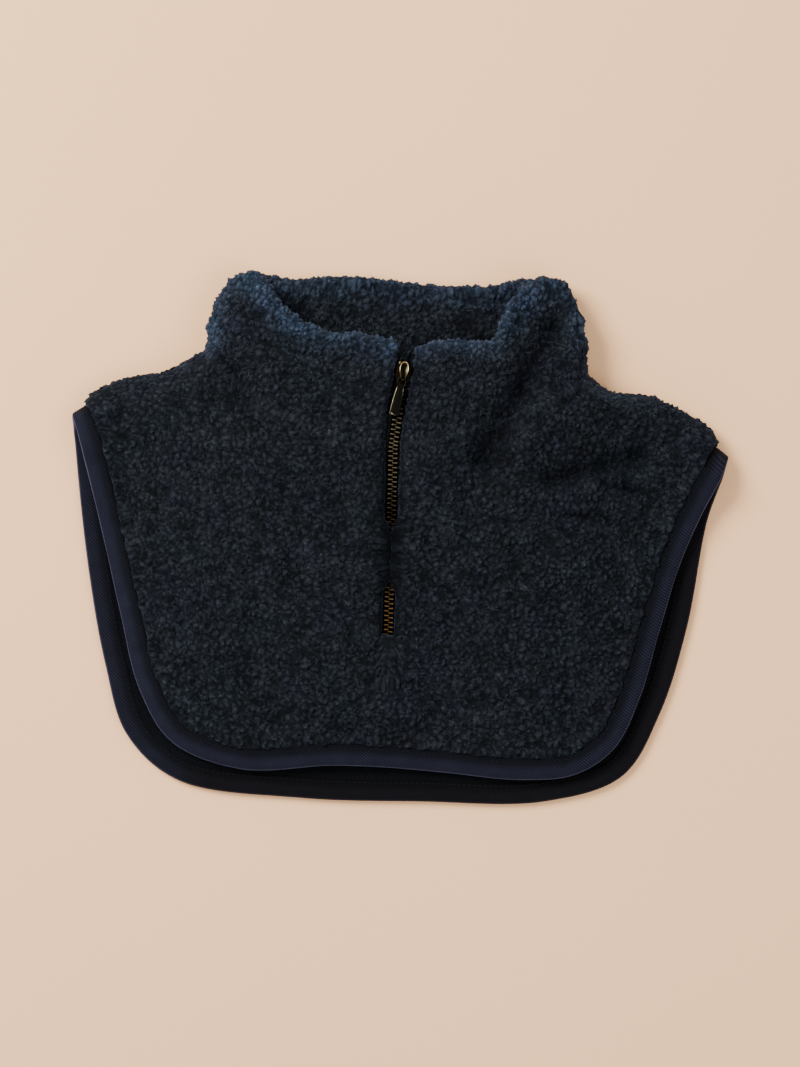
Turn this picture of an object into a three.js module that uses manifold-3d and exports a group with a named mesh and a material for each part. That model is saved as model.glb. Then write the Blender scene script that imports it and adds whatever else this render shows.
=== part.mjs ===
// A detachable collar: a pile-cloth stand collar on a short front and back yoke, with a bound
// edge and a metal zip. It lies on its back, front side up, neck towards +Y. Millimetres, +Z up.
import * as THREE from 'three';
import { mergeVertices } from 'three/addons/utils/BufferGeometryUtils.js';
import Module from 'manifold-3d';

const wasm = await Module();
wasm.setup();

// Driving sizes
const GAP = 0.3;
const NECK_GAP = 0.95;
const GRIP_GAP = 0.6;
const HEM_GAP = 0.5;
const CLOTH = 5;
const COLLAR_CLOTH = 9;
const BINDING_WIDTH = 11;
const BINDING_THICK = 5;
const TAPE_CLOTH = 1;
const ZIP_LENGTH = 162;
const TOOTH_PITCH = 2.6;
const TOOTH_THICK = 0.98;
const CHAIN_HALF = 2.75;
const CHAIN_DEPTH = 5.2;
const TEETH_TALL = 2.8;
const ZIP_TAPE_EDGE = 12.5;
const ZIP_TAPE_THICK = 0.8;
const SLIDER_FROM_RIM = 12.5;
const SLIDER_LENGTH = 11;
const SLIDER_WIDTH = 8.4;
const PULL_LENGTH = 22.5;
const PULL_WIDTH = 4.6;
const PULL_THICK = 1.2;
const PIVOT_BELOW_SLIDER_MIDDLE = 2.4;
const PIVOT_HEIGHT = 3.8;
const PULL_LEAN = 5.5; // degrees to the left of the zip's line
const YOKE_RISE = 1.15; // how the height grows from the hem to the neck
const WELD = 1e-4;

// Stations round the garment, front from left to right and then the back from right to left:
// the outer edge of the yoke, the neck seam and the rim of the collar, each as x, y, z
const STATIONS = [
  { hem: [-179, 68, 9], neck: [-105, 103, 17], rim: [-89, 146, 17] }, // left fold
  { hem: [-176, 56, 17.5], neck: [-101, 96, 30], rim: [-77, 146, 27] },
  { hem: [-169, 26, 13], neck: [-94, 88, 34], rim: [-67, 134, 33] },
  { hem: [-163, 0, 11], neck: [-84, 80, 36], rim: [-58, 123, 34] },
  { hem: [-154, -40, 11], neck: [-70, 71, 37], rim: [-46, 116, 34] },
  { hem: [-143, -84, 11], neck: [-54, 62, 38], rim: [-35, 112, 34] },
  { hem: [-125, -113, 11], neck: [-40, 57, 38], rim: [-25, 112, 34] },
  { hem: [-87, -128, 11], neck: [-25, 54, 38], rim: [-15, 111, 34] },
  { hem: [-37, -126, 13], neck: [-12, 51, 38], rim: [-6, 108, 34] },
  { hem: [-8, -127, 12], neck: [-2.6, 50, 38], rim: [5, 103, 34] }, // zip
  { hem: [26, -130, 11], neck: [8, 50, 38], rim: [10, 104, 34] },
  { hem: [67, -134, 11], neck: [23, 53, 38], rim: [22, 107, 34] },
  { hem: [98, -131, 11], neck: [38, 57, 38], rim: [34, 108, 34] },
  { hem: [120, -116, 11], neck: [53, 61, 37], rim: [45, 107, 34] },
  { hem: [134, -88, 11], neck: [66, 66, 36], rim: [53, 110, 34] },
  { hem: [144, -54, 11], neck: [77, 71, 35], rim: [56, 118, 34] },
  { hem: [156, -15, 11], neck: [87, 76, 34], rim: [61, 127, 33] },
  { hem: [168, 13, 13], neck: [95, 80, 32], rim: [67, 135, 31] },
  { hem: [178, 33, 17.5], neck: [101, 84, 28], rim: [77, 143, 26] },
  { hem: [181, 44, 9], neck: [104, 89, 17], rim: [91, 143, 17] }, // right fold
  { hem: [180, 35, 1], neck: [101, 93, 6], rim: [84, 145, 5] },
  { hem: [171, 9, 0], neck: [89, 95, 0], rim: [73, 143, 0] },
  { hem: [160, -49, 0], neck: [75, 95, 0], rim: [61, 141, 0] },
  { hem: [145, -97, 0], neck: [62, 95, 0], rim: [51, 139, 0] },
  { hem: [124, -132, 0], neck: [48, 95, 0], rim: [41, 139, 0] },
  { hem: [81, -146, 0], neck: [29, 96, 0], rim: [25, 139, 0] },
  { hem: [12, -146, 0], neck: [4, 97, 0], rim: [4, 141, 0] },
  { hem: [-54, -144, 0], neck: [-24, 97, 0], rim: [-18, 144, 0] },
  { hem: [-122, -134, 0], neck: [-54, 98, 0], rim: [-40, 144, 0] },
  { hem: [-150, -109, 0], neck: [-68, 99, 0], rim: [-51, 143, 0] },
  { hem: [-162, -70, 0], neck: [-81, 100, 0], rim: [-61, 143, 0] },
  { hem: [-172, -12, 0], neck: [-90, 101, 0], rim: [-70, 145, 0] },
  { hem: [-179, 58, 1], neck: [-101, 102, 6], rim: [-80, 148, 5] },
];
const LEFT_FOLD = 0;
const ZIP_STATION = 9;
const RIGHT_FOLD = 19;
const COUNT = STATIONS.length;

// How far the outline bows out of the straight line between two edges, near a fold. A lean of 1
// puts the middle of the bow halfway, and a smaller one nearer to the outer edge
const BOWS = [
  { station: RIGHT_FOLD, part: 'yoke', x: 5, y: 9, lean: 0.5 },
  { station: LEFT_FOLD, part: 'yoke', x: -2.5, y: 5.5, lean: 0.4 },
  { station: COUNT, part: 'yoke', x: -2.5, y: 5.5, lean: 0.4 },
  { station: LEFT_FOLD, part: 'collar', x: -5.5, y: 0, lean: 1 },
  { station: COUNT, part: 'collar', x: -5.5, y: 0, lean: 1 },
  { station: RIGHT_FOLD, part: 'collar', x: 5, y: 1, lean: 1 },
];
const BOW_REACH = 1.6;

// Stations on each side over which the direction of the cloth is taken
const SMOOTHING = 0.35;

// Rings of the lofted cloth in one station, near a fold and elsewhere
const NEAR_FOLD_STEPS = 5;
const FLAT_STEPS = 2;

// Soft valleys pressed into the front
const VALLEYS = [
  { from: [85, 114], to: [45, 43], width: 9, depth: 4.5 },
  { from: [133, 48], to: [84, 32], width: 9, depth: 2.5 },
  { from: [-93, 99], to: [-90, 79], width: 7, depth: 2 },
];
const VALLEY_FADE = { low: 14, high: 24 };

const MATERIALS = {
  pile: new THREE.MeshStandardMaterial({ color: 0x171c26, roughness: 1, metalness: 0 }),
  back: new THREE.MeshStandardMaterial({ color: 0x131722, roughness: 1, metalness: 0 }),
  binding: new THREE.MeshStandardMaterial({ color: 0x1c2134, roughness: 0.9, metalness: 0 }),
  zipTape: new THREE.MeshStandardMaterial({ color: 0x14161c, roughness: 0.9, metalness: 0 }),
  brass: new THREE.MeshStandardMaterial({ color: 0x8a7446, roughness: 0.4, metalness: 1 }),
};

const vector = (point) => new THREE.Vector3(...point);
const mix = THREE.MathUtils.lerp;
const rise = THREE.MathUtils.smoothstep;

function edgeLoop(name) {
  return new THREE.CatmullRomCurve3(STATIONS.map((row) => vector(row[name])), true, 'centripetal');
}
const loops = { hem: edgeLoop('hem'), neck: edgeLoop('neck'), rim: edgeLoop('rim') };

function onLoop(name, station) {
  const point = loops[name].getPoint((((station % COUNT) + COUNT) % COUNT) / COUNT);
  point.z = Math.max(point.z, 0);
  return point;
}

// Local axes at the outer edge: along it, inward over the cloth, and out of the cloth
function hemFrame(station) {
  const point = onLoop('hem', station);
  const along = onLoop('hem', station + SMOOTHING)
    .sub(onLoop('hem', station - SMOOTHING)).normalize();
  const inward = onLoop('neck', station).sub(point).normalize();
  inward.addScaledVector(along, -inward.dot(along)).normalize();
  if (point.z === 0) inward.setZ(0).normalize();
  return { point, along, inward, out: along.clone().cross(inward).normalize() };
}

function bow(part, station, along) {
  const shift = new THREE.Vector3();
  for (const row of BOWS.filter((entry) => entry.part === part)) {
    const near = Math.exp(-(((station - row.station) / BOW_REACH) ** 2));
    const profile = Math.sin(Math.PI * Math.max(along, 0) ** row.lean);
    shift.add(new THREE.Vector3(row.x, row.y, 0).multiplyScalar(near * profile));
  }
  return shift;
}

function valleyDepth(x, y) {
  let depth = 0;
  for (const row of VALLEYS) {
    const run = new THREE.Line3(vector([...row.from, 0]), vector([...row.to, 0]));
    const here = new THREE.Vector3(x, y, 0);
    const away = run.closestPointToPoint(here, true, new THREE.Vector3()).distanceTo(here);
    depth += row.depth * Math.exp(-((away / row.width) ** 2));
  }
  return depth;
}

// The outer face of the garment: up is 0 at the binding's inner edge, 1 at the neck seam and
// 2 at the rim of the collar
function outerFace(station, up) {
  const { point, inward } = hemFrame(station);
  const neck = onLoop('neck', station);
  const onCollar = up > 1;
  const from = onCollar ? neck : point.addScaledVector(inward, BINDING_WIDTH + HEM_GAP);
  const to = onCollar ? onLoop('rim', station) : neck;
  const along = onCollar ? up - 1 : up;
  const place = from.clone().lerp(to, along);
  place.z = onCollar ? place.z : mix(from.z, to.z, Math.max(along, 0) ** YOKE_RISE);
  place.add(bow(onCollar ? 'collar' : 'yoke', station, along));
  const fade = rise(place.z, VALLEY_FADE.low, VALLEY_FADE.high);
  place.z = Math.max(place.z - fade * valleyDepth(place.x, place.y), 0);
  return place;
}

// A point of the cloth, depth millimetres under its outer face, moved by aside along the edge
// and by ahead towards the rim
function inCloth(station, up, depth, aside = 0, ahead = 0) {
  const step = 0.04;
  const across = outerFace(station + SMOOTHING, up).sub(outerFace(station - SMOOTHING, up));
  const low = Math.max(up - step, 0);
  const high = Math.min(up + step, 2);
  const onward = outerFace(station, high).sub(outerFace(station, low)).normalize();
  const out = across.normalize().clone().cross(onward).normalize();
  return outerFace(station, up).addScaledVector(out, -depth)
    .addScaledVector(across, aside).addScaledVector(onward, ahead);
}

// A point of the strip that the binding covers, set back from the outer edge
function inHem(station, setBack, depth, aside = 0) {
  const { point, along, inward, out } = hemFrame(station);
  return point.addScaledVector(inward, setBack).addScaledVector(out, -depth)
    .addScaledVector(along, aside);
}

// Stations from one to another, closer together where the cloth folds over
function stationsBetween(first, last) {
  const list = [];
  for (let station = Math.floor(first); station < last; station += 1) {
    const toFold = Math.min(station % COUNT, Math.abs(station - RIGHT_FOLD), COUNT - station);
    const pieces = toFold <= 1 ? NEAR_FOLD_STEPS : FLAT_STEPS;
    for (let i = 0; i < pieces; i += 1) list.push(station + i / pieces);
  }
  list.push(last);
  return list.filter((station) => station >= first);
}

// A geometry's positions and triangles alone, with coincident points made one
function welded(geometry) {
  const bare = geometry.clone();
  bare.deleteAttribute('normal');
  bare.deleteAttribute('uv');
  return mergeVertices(bare, WELD);
}

function closedMesh(vertices, triangles) {
  const geometry = new THREE.BufferGeometry();
  geometry.setAttribute('position', new THREE.Float32BufferAttribute(vertices, 3));
  geometry.setIndex(triangles);
  const merged = welded(geometry);
  return signedVolume(merged) < 0 ? turned(merged) : merged;
}

function signedVolume(geometry) {
  const position = geometry.getAttribute('position');
  const index = geometry.getIndex().array;
  let volume = 0;
  for (let i = 0; i < index.length; i += 3) {
    const [a, b, c] = [0, 1, 2].map((k) =>
      new THREE.Vector3().fromBufferAttribute(position, index[i + k]));
    volume += a.dot(b.cross(c));
  }
  return volume;
}

function turned(geometry) {
  geometry.setIndex(Array.from(geometry.getIndex().array).reverse());
  return geometry;
}

// Joins rings of points into one body. An open run of rings is capped at both ends by a ladder
// of quads between the first and second half of the end ring
function loft(rings, closed) {
  const size = rings[0].length;
  const vertices = rings.flat().flatMap((point) => point.toArray());
  const triangles = [];
  const quad = (a, b, c, d) => triangles.push(a, b, c, a, c, d);
  const last = closed ? rings.length : rings.length - 1;
  for (let i = 0; i < last; i += 1) {
    const here = i * size;
    const next = ((i + 1) % rings.length) * size;
    for (let k = 0; k < size; k += 1) {
      const l = (k + 1) % size;
      quad(here + k, next + k, next + l, here + l);
    }
  }
  if (!closed) {
    const end = (rings.length - 1) * size;
    for (let k = 0; k < size / 2 - 1; k += 1) {
      quad(k, k + 1, size - 2 - k, size - 1 - k);
      quad(end + size - 1 - k, end + size - 2 - k, end + k + 1, end + k);
    }
  }
  return closedMesh(vertices, triangles);
}

function toSolid(geometry) {
  const merged = welded(geometry);
  return new wasm.Manifold(new wasm.Mesh({
    numProp: 3,
    vertProperties: new Float32Array(merged.getAttribute('position').array),
    triVerts: new Uint32Array(merged.getIndex().array),
  }));
}

function fromSolid(solid) {
  const mesh = solid.getMesh();
  return closedMesh(Array.from(mesh.vertProperties), Array.from(mesh.triVerts));
}

function united(geometries) {
  return fromSolid(geometries.map(toSolid).reduce((whole, part) => whole.add(part)));
}

function cut(geometry, tool) {
  return fromSolid(toSolid(geometry).subtract(toSolid(tool)));
}

// One half of the yoke, thinned along its outer edge where the binding grips it
function yoke(first, last, rows) {
  const thin = [TAPE_CLOTH + GRIP_GAP, BINDING_THICK - TAPE_CLOTH - GRIP_GAP];
  const rings = stationsBetween(first, last).map((station) => {
    const aside = ((station === first) - (station === last)) * GAP / 2;
    const face = (depth, gripped) => [
      inHem(station, TAPE_CLOTH + 3 * GAP, gripped, aside),
      inHem(station, BINDING_WIDTH, gripped, aside),
      inHem(station, BINDING_WIDTH + HEM_GAP, depth, aside),
      ...rows.map((up) => inCloth(station, up, depth, aside)),
      inCloth(station, 1, depth, aside, -NECK_GAP / 2),
    ];
    return [...face(0, thin[0]), ...face(CLOTH, thin[1]).reverse()];
  });
  return loft(rings, false);
}

// The directions from the middle of the rolled rim to its points, in degrees from the cloth's own
const ROLL_ANGLES = [67, 22, -22, -67];
// How far from the middle of the zip the collar grows from one layer's thickness to two
const COLLAR_THINS = { from: ZIP_TAPE_EDGE + 1.5, to: ZIP_TAPE_EDGE + 14 };

// The stand collar is a doubled band with a rolled rim, thinner where the zip is sewn in
function collarBand() {
  const rings = stationsBetween(LEFT_FOLD, COUNT).slice(0, -1).map((station) => {
    const height = onLoop('neck', station).distanceTo(onLoop('rim', station));
    const section = (along) => 1 + along / height;
    const thick = (along) => {
      if (station <= LEFT_FOLD || station >= RIGHT_FOLD) return COLLAR_CLOTH;
      const place = outerFace(station, section(along));
      const fromZip = Math.abs(place.x - zipCentreAt(place.y));
      return mix(CLOTH, COLLAR_CLOTH, rise(fromZip, COLLAR_THINS.from, COLLAR_THINS.to));
    };
    const roll = thick(height) / 2;
    const rolled = ROLL_ANGLES.map((angle) => {
      const turn = THREE.MathUtils.degToRad(angle);
      const along = height - roll + roll * Math.cos(turn);
      return inCloth(station, section(along), roll - roll * Math.sin(turn));
    });
    const steps = [0.3 * height, 0.6 * height, height - 1.2 * roll];
    return [
      inCloth(station, 1, 0, 0, NECK_GAP / 2),
      ...steps.map((along) => inCloth(station, section(along), 0)),
      ...rolled,
      ...steps.reverse().map((along) => inCloth(station, section(along), thick(along))),
      inCloth(station, 1, thick(0), 0, NECK_GAP / 2),
    ];
  });
  return loft(rings, true);
}

// A folded tape that grips the whole outer edge
function edgeBinding() {
  const corner = 0.8;
  const inner = BINDING_THICK - TAPE_CLOTH;
  const section = [
    [corner, 0], [BINDING_WIDTH, 0], [BINDING_WIDTH, TAPE_CLOTH], [TAPE_CLOTH + GAP, TAPE_CLOTH],
    [TAPE_CLOTH + GAP, inner], [BINDING_WIDTH, inner], [BINDING_WIDTH, BINDING_THICK],
    [corner, BINDING_THICK], [0, BINDING_THICK - corner], [0, corner],
  ];
  const stations = stationsBetween(LEFT_FOLD, COUNT).slice(0, -1);
  return loft(stations.map((station) =>
    section.map(([setBack, depth]) => inHem(station, setBack, depth))), true);
}

// The zip runs down the middle of the front, from the rim
const zipPoints = Array.from({ length: 41 }, (_, i) => outerFace(ZIP_STATION, 2 - i / 20));
const zipLine = new THREE.CatmullRomCurve3(zipPoints);
const zipReach = zipLine.getLength();

function zipCentreAt(y) {
  const { rim, neck, hem } = STATIONS[ZIP_STATION];
  const [upper, lower] = y > neck[1] ? [rim, neck] : [neck, hem];
  return mix(lower[0], upper[0], (y - lower[1]) / (upper[1] - lower[1]));
}

// Local axes at a distance below the rim: side is to the right, up is towards the rim
function zipFrame(fromRim) {
  const at = Math.min(Math.max(fromRim / zipReach, 0), 1);
  const up = zipLine.getTangentAt(at).negate();
  const side = up.clone().cross(new THREE.Vector3(0, 0, 1)).normalize();
  const out = side.clone().cross(up).normalize();
  return { point: zipLine.getPointAt(at), side, up, out };
}

function inZip(fromRim, aside, depth) {
  const { point, side, out } = zipFrame(fromRim);
  return point.addScaledVector(side, aside).addScaledVector(out, -depth);
}

// The opening in the front: wider at the rim and beside the pull, round at its lower end
function zipOpening() {
  const edge = [
    { fromRim: 0, left: 5.4, right: 5 }, { fromRim: 8, left: 5.2, right: 4.7 },
    { fromRim: 20, left: 6.2, right: 4.6 }, { fromRim: 34, left: 6.2, right: 4.2 },
    { fromRim: 50, left: 5.4, right: 3.9 }, { fromRim: 75, left: 4, right: 3.9 },
    { fromRim: 150, left: 3.5, right: 3.5 }, { fromRim: ZIP_LENGTH, left: 3.4, right: 3.4 },
    { fromRim: ZIP_LENGTH + 2, left: 2.4, right: 2.4 },
    { fromRim: ZIP_LENGTH + 2.8, left: 0.8, right: 0.8 },
  ];
  const flat = (fromRim, aside) => {
    const place = inZip(fromRim, aside, 0);
    return new THREE.Vector2(place.x, place.y);
  };
  const right = edge.map((row) => flat(row.fromRim, row.right));
  const left = edge.map((row) => flat(row.fromRim, -row.left)).reverse();
  const beyond = new THREE.Vector2(0, 20);
  const ends = [left.at(-1).clone().add(beyond), right[0].clone().add(beyond)];
  const [overBackCollar, tall] = [COLLAR_CLOTH + 1.5, 80];
  const outline = new THREE.Shape([...right, ...left, ...ends]);
  return new THREE.ExtrudeGeometry(outline, { depth: tall, bevelEnabled: false, steps: 1 })
    .translate(0, 0, overBackCollar);
}

function zipTape(sign) {
  const depths = [CLOTH + GAP, CLOTH + GAP + ZIP_TAPE_THICK];
  const edges = [CHAIN_HALF + GAP, ZIP_TAPE_EDGE];
  const [start, end, steps] = [2, ZIP_LENGTH + 8, 20];
  const rings = [];
  for (let i = 0; i <= steps; i += 1) {
    const fromRim = mix(start, end, i / steps);
    rings.push([
      inZip(fromRim, sign * edges[0], depths[0]), inZip(fromRim, sign * edges[1], depths[0]),
      inZip(fromRim, sign * edges[1], depths[1]), inZip(fromRim, sign * edges[0], depths[1]),
    ]);
  }
  return loft(rings, false);
}

// One row of teeth on its cord, as a comb whose section steps in and out
function teeth(sign) {
  const first = SLIDER_FROM_RIM + 1.5;
  const number = Math.floor((ZIP_LENGTH - first) / TOOTH_PITCH);
  const shift = sign > 0 ? 0 : TOOTH_PITCH / 2;
  const [cordInner, tip] = [2.15, -0.45];
  const [cordTall, slope] = [1.5, 0.12];
  const rings = [];
  const ring = (fromRim, inner, tall) => rings.push([
    inZip(fromRim, sign * inner, CHAIN_DEPTH - tall / 2),
    inZip(fromRim, sign * CHAIN_HALF, CHAIN_DEPTH - tall / 2),
    inZip(fromRim, sign * CHAIN_HALF, CHAIN_DEPTH + tall / 2),
    inZip(fromRim, sign * inner, CHAIN_DEPTH + tall / 2),
  ]);
  for (let i = 0; i < number; i += 1) {
    const start = first + shift + i * TOOTH_PITCH;
    ring(start - slope, cordInner, cordTall);
    ring(start, tip, TEETH_TALL);
    ring(start + TOOTH_THICK, tip, TEETH_TALL);
    ring(start + TOOTH_THICK + slope, cordInner, cordTall);
  }
  return loft(rings, false);
}

function block([width, length, height], [x, y, z]) {
  return new THREE.BoxGeometry(width, length, height).translate(x, y, z);
}

// The outline whose right half is given from its top down or its bottom up
function mirrored(half) {
  const left = half.map(([x, y]) => [-x, y]).reverse();
  return [...half, ...left].map(([x, y]) => new THREE.Vector2(x, y));
}

function plate(outline, low, high, hole) {
  const shape = new THREE.Shape(outline);
  if (hole) shape.holes.push(new THREE.Path(hole));
  return new THREE.ExtrudeGeometry(shape, { depth: high - low, bevelEnabled: false, steps: 1 })
    .translate(0, 0, low);
}

// The slider in its own frame: X across the zip, Y towards the rim, Z out of the cloth
function slider() {
  const half = SLIDER_WIDTH / 2;
  const end = SLIDER_LENGTH / 2;
  const [inner, outer] = [1.7, 2.7];
  const outline = mirrored([[half - 0.7, -end], [half, end - 4], [half - 0.4, end - 2.5],
    [half - 1.3, end - 1.1], [half - 2.9, end]]);
  const tapeTop = CHAIN_DEPTH - CLOTH - GAP;
  const tapeBottom = tapeTop - ZIP_TAPE_THICK;
  const sink = 0.1;
  const [flangeWide, flangeLong, flangeMiddle] = [0.8, 6.5, -end + 3.45];
  const flange = (sign, low, high) => block([flangeWide, flangeLong, high - low],
    [sign * (CHAIN_HALF + GAP + flangeWide / 2), flangeMiddle, (low + high) / 2]);
  const flanges = [1, -1].flatMap((sign) => [
    flange(sign, tapeTop + GAP, inner + sink),
    flange(sign, -inner - sink, tapeBottom - GAP),
  ]);
  const post = block([2.2, 2.6, 2 * (inner + sink)], [0, end - 2.4, 0]);
  const bridge = { under: 4.9, thick: 1, wide: 1.6, low: -4.6, high: 2.6, leg: 1.2 };
  const leg = (y) => block([bridge.wide, bridge.leg, bridge.under - outer + 2 * sink],
    [0, y, (bridge.under + outer) / 2]);
  const top = block([bridge.wide, bridge.high - bridge.low, bridge.thick],
    [0, (bridge.high + bridge.low) / 2, bridge.under + bridge.thick / 2]);
  const legs = [leg(bridge.low + bridge.leg / 2), leg(bridge.high - bridge.leg / 2)];
  return united([plate(outline, inner, outer), plate(outline, -outer, -inner), ...flanges, post,
    ...legs, top]);
}

// The pull in a frame on its pivot: its bar lies along X and it hangs along -Y, leaning a little
function pull() {
  const half = PULL_WIDTH / 2;
  const outline = mirrored([[half - 1.2, -PULL_LENGTH], [half - 0.3, -PULL_LENGTH + 0.3],
    [half, -PULL_LENGTH + 1.2], [half, -10.6], [half - 0.3, -7.6], [2.7, -6.4], [3, -4.6],
    [3, -1], [2.8, 0], [2.2, 0.5]]);
  const hole = mirrored([[1.75, -0.5], [1.75, -5], [1.5, -5.9], [0.75, -6.2]]);
  return plate(outline, -PULL_THICK / 2, PULL_THICK / 2, hole)
    .rotateZ(THREE.MathUtils.degToRad(-PULL_LEAN));
}

function piece(name, geometry, material) {
  const merged = welded(geometry);
  merged.computeVertexNormals();
  const mesh = new THREE.Mesh(merged, material);
  mesh.name = name;
  return mesh;
}

const opening = zipOpening();
const frontRows = [0.07, 0.16, 0.28, 0.42, 0.56, 0.68, 0.8, 0.91];
const backRows = [0.07, 0.16, 0.42, 0.68];
const garment = new THREE.Group();
garment.add(
  piece('front_panel', cut(yoke(LEFT_FOLD, RIGHT_FOLD, frontRows), opening), MATERIALS.pile),
  piece('back_panel', yoke(RIGHT_FOLD, COUNT, backRows), MATERIALS.back),
  piece('collar', cut(collarBand(), opening), MATERIALS.pile),
  piece('edge_binding', edgeBinding(), MATERIALS.binding),
  piece('zip_tape_left', zipTape(-1), MATERIALS.zipTape),
  piece('zip_tape_right', zipTape(1), MATERIALS.zipTape),
  piece('zip_teeth_left', teeth(-1), MATERIALS.brass),
  piece('zip_teeth_right', teeth(1), MATERIALS.brass),
);

const seat = zipFrame(SLIDER_FROM_RIM);
const sliderGroup = new THREE.Group();
sliderGroup.position.copy(seat.point.addScaledVector(seat.out, -CHAIN_DEPTH));
sliderGroup.quaternion.setFromRotationMatrix(
  new THREE.Matrix4().makeBasis(seat.side, seat.up, seat.out));
const pullMesh = piece('zip_pull', pull(), MATERIALS.brass);
pullMesh.position.set(0, -PIVOT_BELOW_SLIDER_MIDDLE, PIVOT_HEIGHT);
sliderGroup.add(piece('zip_slider', slider(), MATERIALS.brass), pullMesh);
garment.add(sliderGroup);

// The origin is under the middle of the whole, on the surface it lies on
const box = new THREE.Box3().setFromObject(garment, true);
const middle = box.getCenter(new THREE.Vector3());
garment.position.set(-middle.x, -middle.y, -box.min.z);

export default garment;
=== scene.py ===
"""A detachable collar of dark navy curly pile with a bound edge and an antique brass zip."""

import math

import bmesh
import bpy
import numpy as np
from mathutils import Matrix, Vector, bvhtree, kdtree, noise


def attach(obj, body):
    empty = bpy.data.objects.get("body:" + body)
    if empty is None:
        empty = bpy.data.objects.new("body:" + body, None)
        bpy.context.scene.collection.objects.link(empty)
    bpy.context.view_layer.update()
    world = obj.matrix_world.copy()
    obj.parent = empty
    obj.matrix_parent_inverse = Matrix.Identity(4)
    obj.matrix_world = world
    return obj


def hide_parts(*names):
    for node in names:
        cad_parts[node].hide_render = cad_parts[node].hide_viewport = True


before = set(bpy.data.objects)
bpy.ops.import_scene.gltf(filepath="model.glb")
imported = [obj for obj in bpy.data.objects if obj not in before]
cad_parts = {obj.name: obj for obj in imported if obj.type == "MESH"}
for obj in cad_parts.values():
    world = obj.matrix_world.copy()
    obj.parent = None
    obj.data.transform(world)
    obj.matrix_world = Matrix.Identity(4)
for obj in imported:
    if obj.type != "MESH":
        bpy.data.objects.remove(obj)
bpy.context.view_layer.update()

noise.seed_set(1795707243)  # noise_vector starts from the clock where no seed is set

MM = 0.001
SHIFT = np.array([-0.839, 0.357, 0.0])  # from the outline's own origin to the middle of the box

# The outer edge of the yoke and the neck seam, as x, y, z in millimetres
STATIONS = [
    ((-179, 68, 9), (-105, 103, 17)),
    ((-176, 56, 17.5), (-101, 96, 30)),
    ((-169, 26, 13), (-94, 88, 34)),
    ((-163, 0, 11), (-84, 80, 36)),
    ((-154, -40, 11), (-70, 71, 37)),
    ((-143, -84, 11), (-54, 62, 38)),
    ((-125, -113, 11), (-40, 57, 38)),
    ((-87, -128, 11), (-25, 54, 38)),
    ((-37, -126, 13), (-12, 51, 38)),
    ((-8, -127, 12), (-2.6, 50, 38)),
    ((26, -130, 11), (8, 50, 38)),
    ((67, -134, 11), (23, 53, 38)),
    ((98, -131, 11), (38, 57, 38)),
    ((120, -116, 11), (53, 61, 37)),
    ((134, -88, 11), (66, 66, 36)),
    ((144, -54, 11), (77, 71, 35)),
    ((156, -15, 11), (87, 76, 34)),
    ((168, 13, 13), (95, 80, 32)),
    ((178, 33, 17.5), (101, 84, 28)),
    ((181, 44, 9), (104, 89, 17)),
    ((180, 35, 1), (101, 93, 6)),
    ((171, 9, 0), (89, 95, 0)),
    ((160, -49, 0), (75, 95, 0)),
    ((145, -97, 0), (62, 95, 0)),
    ((124, -132, 0), (48, 95, 0)),
    ((81, -146, 0), (29, 96, 0)),
    ((12, -146, 0), (4, 97, 0)),
    ((-54, -144, 0), (-24, 97, 0)),
    ((-122, -134, 0), (-54, 98, 0)),
    ((-150, -109, 0), (-68, 99, 0)),
    ((-162, -70, 0), (-81, 100, 0)),
    ((-172, -12, 0), (-90, 101, 0)),
    ((-179, 58, 1), (-101, 102, 6)),
]
COUNT = len(STATIONS)
HEM = np.array([row[0] for row in STATIONS], float)
NECK = np.array([row[1] for row in STATIONS], float)
SMOOTHING = 0.35  # stations to each side over which the edge's direction is taken
ZIP_STATION = 9
RIGHT_FOLD = 19

# Sizes in millimetres
ZIP_RIM = np.array([5.0, 103.0, 34.0])
BINDING_WIDTH = 11.0
BINDING_THICK = 5.0
HEM_GAP = 0.5  # from the binding to the end of the zip's line
CLOTH = 5.0
ZIP_LENGTH = 162.0
CLOSES, CLOSED, OPENS, OPEN = 90, 104, 127, 138  # from the rim, where pile hides the chain
TOOTH_PITCH = 2.6
TOOTH_THICK = 0.86
CHAIN_HALF = 2.75
TEETH_HALF = 2.5  # a little inside the chain's own half width
CHAIN_DEPTH = 5.2  # from the cloth's upper face down to the middle of the chain
TEETH_TALL = 2.8
SLIDER_FROM_RIM = 12.5
SLIDER_LENGTH = 11.0
SLIDER_WIDTH = 8.4
PIVOT_BELOW_SLIDER_MIDDLE = 2.4
PIVOT_HEIGHT = 3.8
PULL_LEAN = 5.5  # degrees that the pull hangs to the left of the zip's line

# The camera looks straight down, in metres
CAMERA_HEIGHT = 2.2
CAMERA_LIFT = 0.015
CAMERA_AIM = (0.00026, 0.0026)
PICTURE_TALL = 0.58685  # what the picture spans from top to bottom
SENSOR = 36
FLOOR_HALF = 3.0


def on_loop(table, station):
    """A point of a closed centripetal spline through a table's rows."""
    index = int(math.floor(station))
    t = station - index
    p = [table[(index + k) % COUNT] for k in (-1, 0, 1, 2)]
    gap = [max(np.sum((p[k + 1] - p[k]) ** 2) ** 0.25, 1e-6) for k in range(3)]
    start = (p[1] - p[0]) / gap[0] - (p[2] - p[0]) / (gap[0] + gap[1]) + (p[2] - p[1]) / gap[1]
    end = (p[2] - p[1]) / gap[1] - (p[3] - p[1]) / (gap[1] + gap[2]) + (p[3] - p[2]) / gap[2]
    start, end = start * gap[1], end * gap[1]
    point = (p[1] + start * t + (3 * (p[2] - p[1]) - 2 * start - end) * t ** 2
             + (2 * (p[1] - p[2]) + start + end) * t ** 3)
    point[2] = max(point[2], 0.0)
    return point


def unit(vector):
    return vector / max(np.linalg.norm(vector), 1e-9)


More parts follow.
